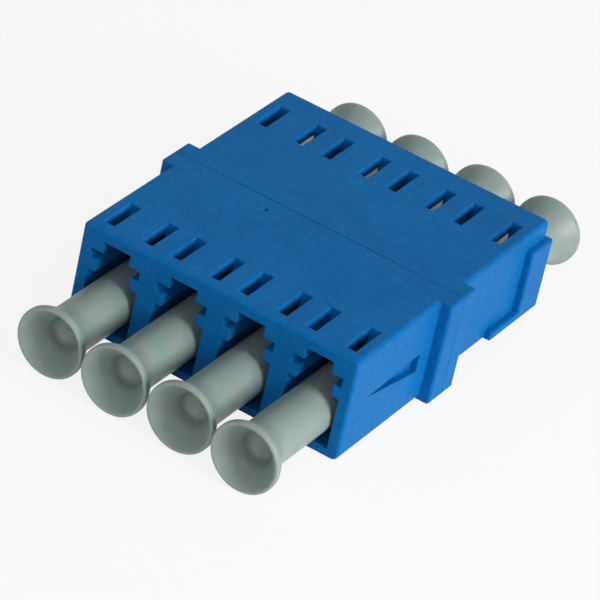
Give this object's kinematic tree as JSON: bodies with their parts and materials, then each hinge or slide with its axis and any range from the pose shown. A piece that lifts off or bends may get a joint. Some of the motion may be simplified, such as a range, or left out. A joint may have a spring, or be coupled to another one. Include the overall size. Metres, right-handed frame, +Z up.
{
  "type": "lc quad fibre adapter",
  "caption": "Blue fibre coupler block for small-form plugs: ports at both ends, latch windows on top, a mid-length panel flange and pull-out trumpet dust caps.",
  "frame": {"origin": "on the underside, under the weld seam at mid-length, centred between the sides", "axes": "+X across the ports to the right seen from the front, +Y from the front mouths to the rear mouths, +Z up, windows on top"},
  "size_m": [0.0274, 0.0468, 0.0093],
  "materials": {
    "housing": "satin moulded, signal blue",
    "sleeve_holder": "natural moulded",
    "zirconia": "polished ceramic",
    "dust_cap": "soft, slightly translucent"
  },
  "bodies": {
    "housing": {"front_housing": "housing", "rear_housing": "housing", "split_sleeve_1": "zirconia", "split_sleeve_2": "zirconia", "split_sleeve_3": "zirconia", "split_sleeve_4": "zirconia", "front_sleeve_holder_1": "sleeve_holder", "rear_sleeve_holder_1": "sleeve_holder", "front_sleeve_holder_2": "sleeve_holder", "rear_sleeve_holder_2": "sleeve_holder", "front_sleeve_holder_3": "sleeve_holder", "rear_sleeve_holder_3": "sleeve_holder", "front_sleeve_holder_4": "sleeve_holder", "rear_sleeve_holder_4": "sleeve_holder"},
    "front_cap_1": {"front_cap_1": "dust_cap"},
    "front_cap_2": {"front_cap_2": "dust_cap"},
    "front_cap_3": {"front_cap_3": "dust_cap"},
    "front_cap_4": {"front_cap_4": "dust_cap"},
    "rear_cap_1": {"rear_cap_1": "dust_cap"},
    "rear_cap_2": {"rear_cap_2": "dust_cap"},
    "rear_cap_3": {"rear_cap_3": "dust_cap"},
    "rear_cap_4": {"rear_cap_4": "dust_cap"}
  },
  "joints": [
    {"name": "front_cap_1_pull", "type": "slide", "parent": "housing", "child": "front_cap_1", "axis": [0, -1, 0], "range_m": [-0.0001, 0.0126]},
    {"name": "front_cap_2_pull", "type": "slide", "parent": "housing", "child": "front_cap_2", "axis": [0, -1, 0], "range_m": [-0.0005, 0.0122]},
    {"name": "front_cap_3_pull", "type": "slide", "parent": "housing", "child": "front_cap_3", "axis": [0, -1, 0], "range_m": [-0.0007, 0.012]},
    {"name": "front_cap_4_pull", "type": "slide", "parent": "housing", "child": "front_cap_4", "axis": [0, -1, 0], "range_m": [-0.0013, 0.0114]},
    {"name": "rear_cap_1_pull", "type": "slide", "parent": "housing", "child": "rear_cap_1", "axis": [0, 1, 0], "range_m": [-0.0016, 0.01235]},
    {"name": "rear_cap_2_pull", "type": "slide", "parent": "housing", "child": "rear_cap_2", "axis": [0, 1, 0], "range_m": [-0.0014, 0.01255]},
    {"name": "rear_cap_3_pull", "type": "slide", "parent": "housing", "child": "rear_cap_3", "axis": [0, 1, 0], "range_m": [-0.0018, 0.01215]},
    {"name": "rear_cap_4_pull", "type": "slide", "parent": "housing", "child": "rear_cap_4", "axis": [0, 1, 0], "range_m": [-0.0019, 0.01205]}
  ]
}
